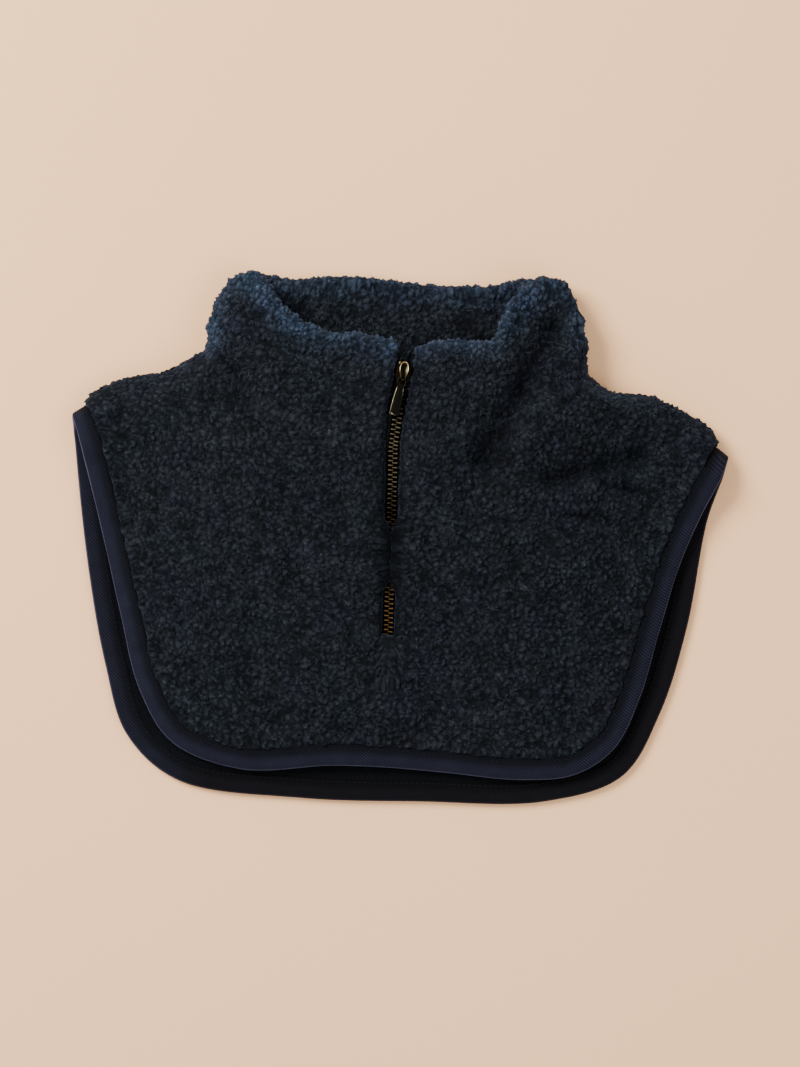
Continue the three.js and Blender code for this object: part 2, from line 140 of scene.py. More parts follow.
def hem_frame(station):
    """Local axes at the outer edge: along it, inward over the cloth, and out of the cloth."""
    point = on_loop(HEM, station)
    along = unit(on_loop(HEM, station + SMOOTHING) - on_loop(HEM, station - SMOOTHING))
    inward = unit(on_loop(NECK, station) - point)
    inward = unit(inward - along * inward.dot(along))
    if point[2] == 0:
        inward[2] = 0
        inward = unit(inward)
    return point + SHIFT, along, inward, unit(np.cross(along, inward))


def zip_path():
    """Points down the middle of the front, from the rim to the outer edge."""
    point, along, inward, out = hem_frame(ZIP_STATION)
    border = point - SHIFT + inward * (BINDING_WIDTH + HEM_GAP)
    neck = NECK[ZIP_STATION]
    points = [ZIP_RIM + (neck - ZIP_RIM) * i / 20 for i in range(20)]
    for i in range(41):
        up = 1 - i / 40
        place = border + (neck - border) * up
        place[2] = border[2] + (neck[2] - border[2]) * up ** 1.15
        points.append(place)
    return np.array(points) + SHIFT


ZIP_POINTS = zip_path()
ZIP_RUN = np.concatenate([[0], np.cumsum(np.linalg.norm(np.diff(ZIP_POINTS, axis=0), axis=1))])


def zip_frame(from_rim):
    """A point of the zip's line with its side, up and out axes."""
    def at(distance):
        return np.array([np.interp(distance, ZIP_RUN, ZIP_POINTS[:, k]) for k in range(3)])
    up = unit(at(from_rim - 3) - at(from_rim + 3))
    side = unit(np.cross(up, [0, 0, 1]))
    return at(from_rim), side, up, np.cross(side, up)


def mesh_object(name, vertices, faces, smooth=True):
    mesh = bpy.data.meshes.new(name)
    mesh.from_pydata([tuple(v) for v in vertices], [], faces)
    mesh.validate()
    if smooth:
        mesh.polygons.foreach_set("use_smooth", [True] * len(mesh.polygons))
    piece = bpy.data.objects.new(name, mesh)
    bpy.context.scene.collection.objects.link(piece)
    return piece


def applied(piece):
    """Replaces a piece's mesh by what its modifiers make of it."""
    bpy.context.view_layer.update()
    graph = bpy.context.evaluated_depsgraph_get()
    mesh = bpy.data.meshes.new_from_object(piece.evaluated_get(graph))
    piece.modifiers.clear()
    piece.data = mesh
    mesh.polygons.foreach_set("use_smooth", [True] * len(mesh.polygons))
    return piece


def stored(piece, name, values):
    """Keeps a value for each vertex, for a material to read."""
    level = piece.data.attributes.new(name, "FLOAT", "POINT")
    level.data.foreach_set("value", np.array(values, np.float32))


def points_of(piece):
    flat = np.zeros(len(piece.data.vertices) * 3)
    piece.data.vertices.foreach_get("co", flat)
    return flat.reshape(-1, 3)


def normals_of(piece):
    flat = np.zeros(len(piece.data.vertices) * 3, np.float32)
    piece.data.vertex_normals.foreach_get("vector", flat)
    return flat.reshape(-1, 3).astype(float)


# Pile cloth

NUB = 3.3  # millimetres from one curl of the pile to the next
MOST_TRIANGLES = 196000
SEAM_REACH = 5.0  # how far from the next cloth the pile bulges over the seam
UNDER_TAPE = 8.0  # how far in from the outer edge the cloth keeps its plain shape
GRIPPED = 12.0  # how far in from the outer edge the binding presses on the pile
COMBED_FROM = 130.0 / NUB  # height in the plan from which the combed curls are stretched


def dense_copy(name, node, voxel, rounds, backing=None):
    """A closed copy of a node's solid in small even faces, with its hard edges worn off. Faces
    whose normals point along backing are thinned out, since they are plain knitted cloth."""
    piece = bpy.data.objects.new(name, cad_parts[node].data.copy())
    bpy.context.scene.collection.objects.link(piece)
    piece.data.materials.clear()
    remesh = piece.modifiers.new("remesh", "REMESH")
    remesh.mode = "VOXEL"
    remesh.voxel_size = voxel * MM
    smooth = piece.modifiers.new("smooth", "SMOOTH")
    smooth.factor = 0.5
    smooth.iterations = rounds
    applied(piece)
    triangles = 2 * len(piece.data.polygons)
    if backing is not None and triangles > MOST_TRIANGLES:
        inner = normals_of(piece) @ np.array(backing) > 0.3
        group = piece.vertex_groups.new(name="backing")
        group.add([int(i) for i in np.nonzero(inner)[0]], 1, "REPLACE")
        thin = piece.modifiers.new("thin", "DECIMATE")
        thin.vertex_group = "backing"
        thin.vertex_group_factor = 10
        thin.ratio = MOST_TRIANGLES / triangles
        applied(piece)
        piece.vertex_groups.clear()
    return piece


def line_tree(points):
    tree = kdtree.KDTree(len(points))
    for i, point in enumerate(points):
        tree.insert(Vector(point), i)
    tree.balance()
    return tree


FINE_STATIONS = np.arange(0, COUNT, 0.05)
HEM_TREE = line_tree([hem_frame(station)[0] for station in FINE_STATIONS])
ZIP_STEPS = np.arange(0, 175, 0.5)
ZIP_TREE = line_tree([zip_frame(step)[0] for step in ZIP_STEPS])

# Creases in the front, as x, y of both ends, width, depth and how much painted shade darkens
# them; a swell has a depth below zero
CREASES = [
    ((133, 25), (112, 29), 2.8, 2.4, 0.6),
    ((115, 10), (91, 13), 2.6, 2.0, 0.5),
    ((84, 116), (66, 80), 6.5, 3.6, 0.72),
    ((66, 80), (45, 42), 8.0, 3.4, 0.72),
    ((132, 46), (82, 32), 6.5, 3.4, 0.72),
    ((-93, 99), (-88, 74), 8.0, 1.8, 0.45),
    ((104, 66), (66, 52), 8.0, -2.4, 0.0),
    ((96, 118), (94, 102), 7.0, -1.6, 0.0),
]

# The collar's upper edges, as x, y of places along them: over the front with both sides, and
# along the back
RIM_FRONT = [
    [(-104, 110), (-103, 128), (-98, 140), (-86, 146), (-75, 136), (-63, 124), (-54, 117),
     (-38, 113), (-16, 112.5), (-6, 107)],
    [(7, 107), (22, 110.5), (49, 110), (58, 121), (72, 136), (86, 143), (97, 138), (102, 126),
     (103, 110)],
]
RIM_BACK = [[(-78, 140), (-54, 143), (-26, 144.5), (3, 142.5), (32, 139), (60, 140), (82, 142)]]

# Small moves in plan that bring the outline to the real one: middle, reach, and how far
SETTLED = [
    ((-129, 95), 15.0, (0.0, -3.8)),
    ((-171, 76), 13.0, (-3.2, 0.0)),
    ((118, 86), 12.0, (-1.5, -4.6)),
    ((174, 54), 13.0, (4.2, 0.0)),
    ((-4, 108), 4.5, (0.5, 1.8)),
    ((8, 108), 4.5, (-1.2, 1.2)),
]


def ramp(value, low, high):
    share = min(max((value - low) / (high - low), 0.0), 1.0)
    return share * share * (3 - 2 * share)


def settled(place):
    """A place in millimetres, moved with the small corrections of the outline."""
    moved = np.array(place, float)
    for (x, y), reach, (along, across) in SETTLED:
        near = math.exp(-((place[0] - x) ** 2 + (place[1] - y) ** 2) / reach ** 2)
        moved[0] += along * near
        moved[1] += across * near
    return moved


def plan_tree(lines):
    """A search tree of places a millimetre apart along flat lines."""
    places = []
    for line in lines:
        for a, b in zip(line, line[1:]):
            steps = max(1, round(math.dist(a, b)))
            places += [(a[0] + (b[0] - a[0]) * i / steps, a[1] + (b[1] - a[1]) * i / steps, 0)
                       for i in range(steps)]
    return line_tree(places)


RIM_FRONT_TREE = plan_tree(RIM_FRONT)
RIM_BACK_TREE = plan_tree(RIM_BACK)


def cloth_tree(*nodes):
    """A search tree of the faces of some nodes, in millimetres."""
    places, faces = [], []
    for name in nodes:
        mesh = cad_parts[name].data
        base = len(places)
        places += [vertex.co / MM for vertex in mesh.vertices]
        faces += [[base + k for k in face.vertices] for face in mesh.polygons]
    return bvhtree.BVHTree.FromPolygons(places, faces)


def rim_nearness(place):
    """How near the collar's rolled upper edge is, and how far its pile is combed upright."""
    flat = Vector((place[0], place[1], 0))
    front = math.exp(-((RIM_FRONT_TREE.find(flat)[2] / 9.5) ** 2)) * ramp(place[2], 11, 18)
    back = math.exp(-((RIM_BACK_TREE.find(flat)[2] / 11) ** 2))
    right = front * ramp(place[0], 70, 90)
    return max(front, 0.75 * back), max(back, right)


def creases(place, wider=1.0):
    """How deep the creases press in at a place on the front, and how much painted shade darkens it.
    """
    depth, shade = 0.0, 0.0
    for start, end, width, deep, darker in CREASES:
        a, b = np.array(start, float), np.array(end, float)
        run = b - a
        share = min(max(np.dot(place[:2] - a, run) / np.dot(run, run), 0.0), 1.0)
        away = math.hypot(*(place[:2] - a - run * share))
        reach = width * (wider if deep > 0 else 1.0)
        if away < 3 * reach:
            near = math.exp(-((away / reach) ** 2))
            depth += deep * near
            shade = max(shade, darker * near)
    return depth, shade


def curl(place, seed, combed=0.0):
    """Height from 0 in a crease to 1 on a curl, and a sideways drift, at a place in millimetres."""
    at = Vector(place) / NUB
    at.y = COMBED_FROM + (at.y - COMBED_FROM) * (1 - 0.4 * combed)
    drift = noise.noise_vector(at * 0.7 + Vector((seed, 0, 0))) * 0.62
    drift += noise.noise_vector(at * 1.9 + Vector((0, seed, 0))) * 0.36
    near, _ = noise.voronoi(at + drift, distance_metric="DISTANCE", exponent=2.5)
    lobe = max(0.0, 1 - (near[0] / 0.85) ** 2)
    clump = min(1.0, (near[1] - near[0]) / 0.4) ** 0.6 * (0.5 + 0.5 * lobe)
    near, _ = noise.voronoi(at * 2.1 + drift * 1.3, distance_metric="DISTANCE", exponent=2.5)
    small = min(1.0, (near[1] - near[0]) / 0.42)
    fine = noise.noise(at * 3.4 + Vector((0, seed, 0)))
    big = noise.noise(at * 0.33 + Vector((0, 0, seed)))
    return clump * (0.6 + 0.4 * small) + 0.16 * fine + 0.17 * big, drift


def lip_shift(place):
    """Closes the pile over the zip's lower half and past its end, and slopes it into the groove.
    Also how much of its curl stays, how much painted shade darkens the groove and how far the zip
    is."""
    _, index, away = ZIP_TREE.find(Vector(place))
    if away > 14:
        return np.zeros(3), 1.0, 0.0, away
    point, side, up, out = zip_frame(ZIP_STEPS[index])
    from_rim = ZIP_STEPS[index]
    aside = float(np.dot(place - point, side))
    depth = -float(np.dot(place - point, out))
    closed = ramp(from_rim, CLOSES, CLOSED) * (1 - ramp(from_rim, OPENS, OPEN))
    ended = ramp(from_rim, ZIP_LENGTH - 2, ZIP_LENGTH + 1)
    over = ramp(3.4, depth - 1.0, depth + 1.5) if depth > 0 else 1.0
    near = math.exp(-((max(abs(aside) - 3.6, 0) / 3.2) ** 2))
    beside = ramp(abs(aside), 2.0, 5.0)
    inward = -side * math.copysign(3.9, aside) * closed * near
    onward = up * 6.4 * ended * math.exp(-((aside / 6) ** 2))
    open_here = (1 - ended) * ramp(from_rim, 4, 14)
    wide = 4.2 if aside < 0 and from_rim < OPEN else 2.6 + 1.8 * closed
    slope = math.exp(-((max(abs(aside) - 3.2, 0) / wide) ** 2)) * open_here
    sunk = -out * 1.3 * slope
    return (inward + onward) * over + sunk, 0.35 + 0.65 * beside, slope, away


def pile(piece, seed, sewn_to, tall=2.0, backing=None, front=False, rim=False):
    """Raises curls of pile on a dense cloth piece and stores what its colour depends on. The
    pile bulges over the seams with the cloth in the tree sewn_to."""
    points = points_of(piece) / MM
    normals = normals_of(piece)
    heights, fuzz_and_sheen, shades = (np.zeros(len(points)) for _ in range(3))
    moved = points.copy()
    plain = normals @ np.array(backing) if backing is not None else np.full(len(points), -1.0)
    for i, (place, normal) in enumerate(zip(points, normals)):
        hem, _, away = HEM_TREE.find(Vector(place))
        free = ramp(away, UNDER_TAPE, UNDER_TAPE + 2)
        inside = ramp(plain[i], 0.2, 0.6)
        deep, shade = 0.0, 0.0
        if front and place[2] > 8:
            deep, shade = creases(place, 1 + 0.8 * inside)
            deep *= ramp(place[2] - CLOTH * min(normal[2], 0), 12, 18) * ramp(away, 12, 20)
            deep *= 1 + 0.3 * inside * (deep > 0)
        pressed = np.array((0, 0, -deep))
        if inside > 0.99 or free < 0.01:
            heights[i] = -1.0
            wave = noise.noise(Vector(place) / 14 + Vector((0, 0, seed)))
            moved[i] = settled(place + pressed + normal * 0.3 * wave * free)
            continue
        edge, combed = rim_nearness(place) if rim else (0.0, 0.0)
        # Painted sheen: steep faces of the pile are made lighter and bluer.
        steep_sheen = 0.4 * ramp(1 - abs(normal[2]), 0.2, 0.8) * ramp(away, 14, 22)
        height, drift = curl(place, seed, combed)
        broad = noise.noise(Vector(place) / 17 + Vector((0, 0, seed)))
        side = np.array(drift) - normal * np.dot(np.array(drift), normal)
        lumps = noise.noise(Vector(place) / 5.5 + Vector((seed, 0, 0)))
        stand = (height - 0.5) * tall + 0.5 * broad + edge * (0.5 + 1.1 * lumps)
        shift = (normal * stand + side * 0.5 * height) * (1 - inside)
        seam, _, _, apart = sewn_to.find_nearest(Vector(place), SEAM_REACH)
        if seam is not None and away > 16:
            closer = 1 - apart / SEAM_REACH
            steep_sheen *= 1 - closer
            toward = (np.array(seam) - place) / max(apart, 0.4)
            shift = shift + toward * 2.0 * closer + normal * 1.1 * closer * (1 - inside)
        if away < 18:
            rising = ramp(away, GRIPPED, GRIPPED + 1.8)
            shift = shift * rising - normal * 1.1 * (1 - rising)
            if away > GRIPPED:
                outward = (np.array(hem) - place) / away
                over = outward * (1.0 + 2.0 * lumps) + normal * 0.9
                shift = shift + over * rising * (1 - ramp(away, 14, 18))
        if front:
            lips, beside, dark, from_zip = lip_shift(place)
            shift = shift * beside + lips
            steep_sheen *= ramp(from_zip, 8, 14)
            edge *= 1 - dark
            # Painted shade for the zip's groove and the creases.
            shades[i] = max(dark, shade * ramp(normal[2], 0.0, 0.3))
        # Painted sheen on steep faces and along the rim, where the pile is also combed upright.
        fuzz_and_sheen[i] = max(edge, steep_sheen)
        heights[i] = height * (1 - inside) - inside
        moved[i] = settled(place + pressed + shift * free)
    moved[:, 2] = np.maximum(moved[:, 2], 0.15)
    piece.data.vertices.foreach_set("co", (moved * MM).ravel())
    stored(piece, "curl", heights)
    stored(piece, "fuzz_and_sheen", fuzz_and_sheen)
    stored(piece, "shade", shades)
    piece.data.update()
    return piece


def fibres(name, sources, seed):
    """Loose curled fibres standing off the pile. Each source is a piece, the number and the
    length of its fibres, and which of its points and normals they may grow from."""
    draw = np.random.default_rng(seed)
    vertices, faces = [], []
    sides, steps, thick = 3, 4, 0.09
    for piece, number, length, choose in sources:
        points, normals = points_of(piece) / MM, normals_of(piece)
        level = np.zeros(len(points), np.float32)
        piece.data.attributes["curl"].data.foreach_get("value", level)
        able = np.nonzero((level > 0.45) & choose(points, normals))[0]
        for index in draw.choice(able, min(number, len(able)), replace=False):
            start, out = points[index], normals[index]
            lean = unit(draw.normal(size=3))
            lean = unit(lean - out * lean.dot(out))
            size = length * draw.uniform(0.6, 1.4)
            rise_by = draw.uniform(0.15, 0.5)
            curl_by = draw.uniform(0.8, 2.2)
            other = np.cross(out, lean)
            base = len(vertices)
            for step in range(steps + 1):
                share = step / steps
                turn = curl_by * share
                centre = (start - out * 0.3 + lean * size * math.sin(turn) / curl_by
                          + other * size * (1 - math.cos(turn)) / curl_by
                          + out * size * rise_by * share * (1.6 - share))
                centre[2] = max(centre[2], 0.2)
                radius = thick * (1 - 0.7 * share)
                for k in range(sides):
                    angle = math.tau * k / sides
                    vertices.append((centre + radius * (out * math.cos(angle)
                                                        + other * math.sin(angle))) * MM)
            for step in range(steps):
                for k in range(sides):
                    a, b = base + step * sides, base + (step + 1) * sides
                    faces.append((a + k, a + (k + 1) % sides, b + (k + 1) % sides, b + k))
            faces.append((base + 2, base + 1, base))
            faces.append(tuple(base + steps * sides + k for k in range(sides)))
    return mesh_object(name, vertices, faces)


# Binding

def binding():
    """The folded tape: a rounded section swept round the whole outer edge."""
    corner = 1.9
    wide = BINDING_WIDTH + 1.1
    inner = BINDING_THICK - 1.15
    section = []
    for angle in range(0, 181, 20):
        turn = math.radians(angle)
        section.append((corner * (1 - math.sin(turn)),
                        BINDING_THICK / 2 - BINDING_THICK / 2 * math.cos(turn)))
    section = section[::-1]
    lip = 0.45
    run = [(s, 0.0) for s in (3.5, 5.5, 7.5, 9.7, wide - lip)]
    outer = run + [(wide, 0.25), (wide, 0.85), (wide - lip, 1.1)]
    under = [(8.0, 1.1), (4.5, 1.1), (1.6, 1.4), (1.6, inner - 0.25), (4.5, inner), (8.0, inner)]
    back = [(s, BINDING_THICK - w) for s, w in reversed(outer)]
    ring = outer + under + back + section[1:-1]
    stations = []
    for index in range(COUNT):
        length = np.linalg.norm(HEM[(index + 1) % COUNT] - HEM[index])
        steps = max(int(length / 2.2), 4)
        stations += [index + k / steps for k in range(steps)]
    vertices, faces, widths, back_shades = [], [], [], []
    run_length = 0.0
    last = None
    for station in stations:
        point, along, inward, out = hem_frame(station)
        run_length += 0 if last is None else np.linalg.norm(point - last)
        last = point
        # Painted shade: the back half of the tape is darkened, less towards its left end.
        ends = min(COUNT - station, abs(station - RIGHT_FOLD))
        dark = ramp(ends, 0.2, 1.2) if station > RIGHT_FOLD else 0.0
        dark *= 0.35 + 0.65 * ramp(point[0], -138, -104)
        for set_back, depth in ring:
            wave = 0.22 * math.sin(run_length / 2.9) * min(set_back / BINDING_WIDTH, 1)
            wave += 0.3 * noise.noise(Vector((run_length / 9, set_back / 9, depth)))
            lift = wave * (1 if depth < BINDING_THICK / 2 else -0.4)
            vertices.append(settled(point + inward * set_back - out * (depth - lift)) * MM)
            widths.append(set_back / wide)
            back_shades.append(1 - 0.5 * dark)
    size, number = len(ring), len(stations)
    for i in range(number):
        for k in range(size):
            a, b = i * size, ((i + 1) % number) * size
            faces.append((a + k, b + k, b + (k + 1) % size, a + (k + 1) % size))
    for vertex in vertices:
        vertex[2] = max(vertex[2], 0.00012)
    piece = mesh_object("binding_tape", vertices, faces)
    stored(piece, "width", widths)
    stored(piece, "back_shade", back_shades)
    return piece


def stitches():
    """A line of stitches on both faces of the binding, near its inner edge."""
    set_back, long, pitch, thick = BINDING_WIDTH - 0.8, 2.1, 2.9, 0.24
    vertices, faces = [], []
    fine = np.arange(0, COUNT, 0.01)
    points = np.array([hem_frame(s)[0] + hem_frame(s)[2] * set_back for s in fine])
    run = np.concatenate([[0], np.cumsum(np.linalg.norm(np.diff(points, axis=0), axis=1))])
    for start in np.arange(0, run[-1] - pitch, pitch):
        station = float(np.interp(start, run, fine))
        end = float(np.interp(start + long, run, fine))
        for depth in (0.02, BINDING_THICK - 0.02):
            sign = 1 if depth < 1 else -1
            if sign > 0 and hem_frame(station)[0][2] == 0:
                continue
            base = len(vertices)
            for along_share in (0, 0.2, 0.5, 0.8, 1):
                here = station + (end - station) * along_share
                point, along, inward, out = hem_frame(here)
                arch = thick * (math.sin(math.pi * along_share) * 0.8 - 0.35)
                middle = point + inward * set_back - out * (depth - sign * arch)
                radius = thick * (0.45 + 0.55 * math.sin(math.pi * along_share))
                for k in range(6):
                    turn = math.tau * k / 6
                    vertex = settled(middle + inward * radius * math.cos(turn)
                                     + out * radius * 0.7 * math.sin(turn))
                    vertex[2] = max(vertex[2], 0.1)
                    vertices.append(vertex * MM)
            for j in range(4):
                for k in range(6):
                    a, b = base + j * 6, base + (j + 1) * 6
                    faces.append((a + k, b + k, b + (k + 1) % 6, a + (k + 1) % 6))
            faces.append(tuple(base + k for k in range(6)))
            faces.append(tuple(base + 24 + k for k in reversed(range(6))))
    return mesh_object("binding_stitches", vertices, faces)


# Zip

def block_template(length, bevel):
    """A tooth: a bevelled bar along X with a rounded nose, from 0 to its length."""
    shape = bmesh.new()
    bmesh.ops.create_cube(shape, size=1)
    for vertex in shape.verts:
        vertex.co.x = (vertex.co.x + 0.5) * length
        vertex.co.y *= TOOTH_THICK
        vertex.co.z *= TEETH_TALL * (0.8 if vertex.co.x > length / 2 else 1)
    bmesh.ops.bevel(shape, geom=shape.edges[:], offset=bevel, segments=2, profile=0.6,
                    affect="EDGES")
    vertices = [v.co.copy() for v in shape.verts]
    faces = [tuple(v.index for v in face.verts) for face in shape.faces]
    shape.free()
    return vertices, faces


def teeth(name, sign):
    """One row of metal teeth, each clamped over the bead of its tape."""
    vertices, faces = [], []
    first = SLIDER_FROM_RIM + 1.5
    number = int((ZIP_LENGTH - first) // TOOTH_PITCH)
    shift = 0 if sign > 0 else TOOTH_PITCH / 2
    template, template_faces = block_template(TEETH_HALF + 0.4, 0.22)
    brightness = []
    for i in range(number):
        point, side, up, out = zip_frame(first + shift + i * TOOTH_PITCH + TOOTH_THICK / 2)
        tilt = 0.06 * math.sin(i * 12.9898)
        along = first + i * TOOTH_PITCH
        # Painted shade darkens the teeth where the pile closes over them; they are also darker
        # beside the pull.
        hidden = ramp(along, CLOSES - 20, CLOSES + 2) * (1 - ramp(along, OPENS + 1, OPEN))
        beside_pull = 1 - ramp(along, 30, 38)
        shown = (1 - 0.75 * beside_pull) * (1 - 0.7 * hidden)
        base = len(vertices)
        for corner in template:
            aside = TEETH_HALF - corner.x
            ahead = corner.y + tilt * (aside - 1)
            place = point + side * sign * aside + up * ahead + out * (corner.z - CHAIN_DEPTH)
            vertices.append(place * MM)
            # Wear and a painted highlight make each tooth brightest on its top centre.
            top = ramp(corner.z, 0.3 * TEETH_TALL, 0.46 * TEETH_TALL)
            middle = 1 - 0.85 * ramp(abs(corner.x - 1.1), 0.2, 1.3)
            brightness.append(top * middle * shown)
        order = (lambda face: face) if sign < 0 else (lambda face: face[::-1])
        faces += [order(tuple(base + k for k in face)) for face in template_faces]
    return with_wear_and_light(mesh_object(name, vertices, faces), brightness)


# Stores the brightness of brass: wear together with painted highlights and painted shade.
def with_wear_and_light(piece, values):
    stored(piece, "brightness", values)
    return piece


def tube(points, radius, sides=8, closed=False):
    """Vertices and faces of a round wire through points, in millimetres."""
    points = [np.array(p, float) for p in points]
    number = len(points)
    vertices, faces = [], []
    for i, point in enumerate(points):
        before = points[i - 1] if closed or i else points[0]
        after = points[(i + 1) % number] if closed or i < number - 1 else points[-1]
        along = unit(after - before)
        across = np.cross(along, [0, 0, 1.0])
        across = unit(across) if np.linalg.norm(across) > 1e-3 else np.array([1.0, 0, 0])
        other = np.cross(across, along)
        size = radius[i] if hasattr(radius, "__len__") else radius
        for k in range(sides):
            turn = math.tau * k / sides
            vertices.append(point + (across * math.cos(turn) + other * math.sin(turn)) * size)
    for i in range(number if closed else number - 1):
        a, b = i * sides, ((i + 1) % number) * sides
        for k in range(sides):
            faces.append((a + k, a + (k + 1) % sides, b + (k + 1) % sides, b + k))
    if not closed:
        faces.append(tuple(reversed(range(sides))))
        faces.append(tuple((number - 1) * sides + k for k in range(sides)))
    return vertices, faces


def slab(outline, low, high, bevel):
    """Vertices and faces of a flat outline with bevelled edges, in millimetres."""
    shape = bmesh.new()
    bottom = [shape.verts.new((x, y, low)) for x, y in outline]
    face = shape.faces.new(bottom)
    grown = bmesh.ops.extrude_face_region(shape, geom=[face])
    for item in grown["geom"]:
        if isinstance(item, bmesh.types.BMVert):
            item.co.z = high
    bmesh.ops.recalc_face_normals(shape, faces=shape.faces[:])
    rims = [e for e in shape.edges if abs(e.verts[0].co.z - e.verts[1].co.z) < 1e-6]
    bmesh.ops.bevel(shape, geom=rims, offset=bevel, segments=3, profile=0.5, affect="EDGES")
    shape.verts.index_update()
    vertices = [np.array(v.co) for v in shape.verts]
    faces = [tuple(v.index for v in f.verts) for f in shape.faces]
    shape.free()
    return vertices, faces


def joined(name, parts, place):
    """One object from several (vertices, faces, brightness from wear and painted light), its points
    moved by place().
    """
    vertices, faces, brightness = [], [], []
    for part_vertices, part_faces, wear_and_light in parts:
        base = len(vertices)
        vertices += [place(v) * MM for v in part_vertices]
        faces += [tuple(base + k for k in face) for face in part_faces]
        brightness += [wear_and_light(v) if callable(wear_and_light) else wear_and_light for v in part_vertices]
    return with_wear_and_light(mesh_object(name, vertices, faces), brightness)


def slider_place(point):
    origin, side, up, out = zip_frame(SLIDER_FROM_RIM)
    return origin + side * point[0] + up * point[1] + out * (point[2] - CHAIN_DEPTH)


def slider_outline():
    half, end = SLIDER_WIDTH / 2, SLIDER_LENGTH / 2
    right = [(half - 0.7, -end), (half - 0.35, -end + 2), (half - 0.1, -1), (half, end - 4)]
    right += [(half * math.cos(t) * 0.9 + 0.4 * math.cos(t), end - 4 + 4 * math.sin(t))
              for t in np.radians([20, 40, 58, 74])]
    return right + [(-x, y) for x, y in reversed(right)]


def crown_half(share):
    """Half the width of the crown, from its top at 0 to its bottom at 1."""
    return 3.0 * math.sin(math.pi * (0.04 + 0.9 * share)) ** 0.6 * (1 - 0.42 * share)


def crown_place(share, across, lift=0.0):
    """A point of the crown: an arched tray, hollow between its raised rims."""
    rise_of = math.sin(math.pi * min(max(share, 0.002), 0.998)) ** 0.5
    z = 2.6 + 2.7 * rise_of - 0.7 + 0.7 * abs(across) ** 3
    return np.array((crown_half(share) * across, 5.3 - 9.7 * share, z + lift))


def slider_crown():
    """The teardrop bridge over the pull's bar: a hollowed strap, wide above and narrow below."""
    lengthwise, across, thick = 16, 8, 0.5
    row = across + 1
    grid = [(i / lengthwise, 2 * k / across - 1) for i in range(lengthwise + 1) for k in range(row)]
    top = [crown_place(share, v) for share, v in grid]
    under = [crown_place(share, v, -thick) for share, v in grid]
    size = len(top)
    faces = []
    for i in range(lengthwise):
        for k in range(across):
            a, b = i * row + k, (i + 1) * row + k
            faces.append((a, b, b + 1, a + 1))
            faces.append((size + a, size + a + 1, size + b + 1, size + b))
        for k, flip in ((0, False), (across, True)):
            a, b = i * row + k, (i + 1) * row + k
            rim = (a, size + a, size + b, b)
            faces.append(rim[::-1] if flip else rim)
    for i, flip in ((0, True), (lengthwise, False)):
        for k in range(across):
            a = i * row + k
            rim = (a, a + 1, size + a + 1, size + a)
            faces.append(rim if flip else rim[::-1])
    return top + under, faces


def crown_rim():
    """The bead along the crown's edge, made bright by a painted highlight."""
    shares = [i / 22 for i in range(23)]
    right = [crown_place(share, 0.93, 0.02) for share in shares]
    left = [crown_place(share, -0.93, 0.02) for share in reversed(shares)]
    return tube(right + left, 0.17, sides=8, closed=True)


def slider_body():
    outline = slider_outline()
    parts = [(*slab(outline, 1.7, 2.7, 0.3), -0.6), (*slab(outline, -2.7, -1.7, 0.3), -0.6)]
    for sign in (1, -1):
        x0 = sign * (CHAIN_HALF + 0.3)
        x1 = sign * (CHAIN_HALF + 1.1)
        rail = [(x0, -5.4), (x1, -5.4), (x1, 1.1), (x0, 1.1)]
        parts.append((*slab(rail if sign > 0 else rail[::-1], 0.2, 1.75, 0.15), -0.6))
        parts.append((*slab(rail if sign > 0 else rail[::-1], -1.75, -1.2, 0.15), -0.6))
    post = [(-1.1, 1.8), (1.1, 1.8), (0.9, 4.4), (-0.9, 4.4)]
    parts.append((*slab(post, -1.75, 1.75, 0.1), -0.6))
    # Painted light: the crown is lighter on its right half, and its rim has a painted highlight
    # that is brightest at its upper end.
    parts.append((*slider_crown(), lambda v: -0.1 + 0.28 * ramp(v[0], 0.1, 1.6)))
    parts.append((*crown_rim(), lambda v: 0.45 + 0.55 * ramp(v[1], -1.5, 2.5)))
    ball = [(-2.6 + 0.9 * math.cos(t), 4.5 + 0.9 * math.sin(t))
            for t in np.radians(range(0, 360, 30))]
    parts.append((*slab(ball, 2.5, 3.7, 0.35), 0.36))
    return joined("slider_body", parts, slider_place)


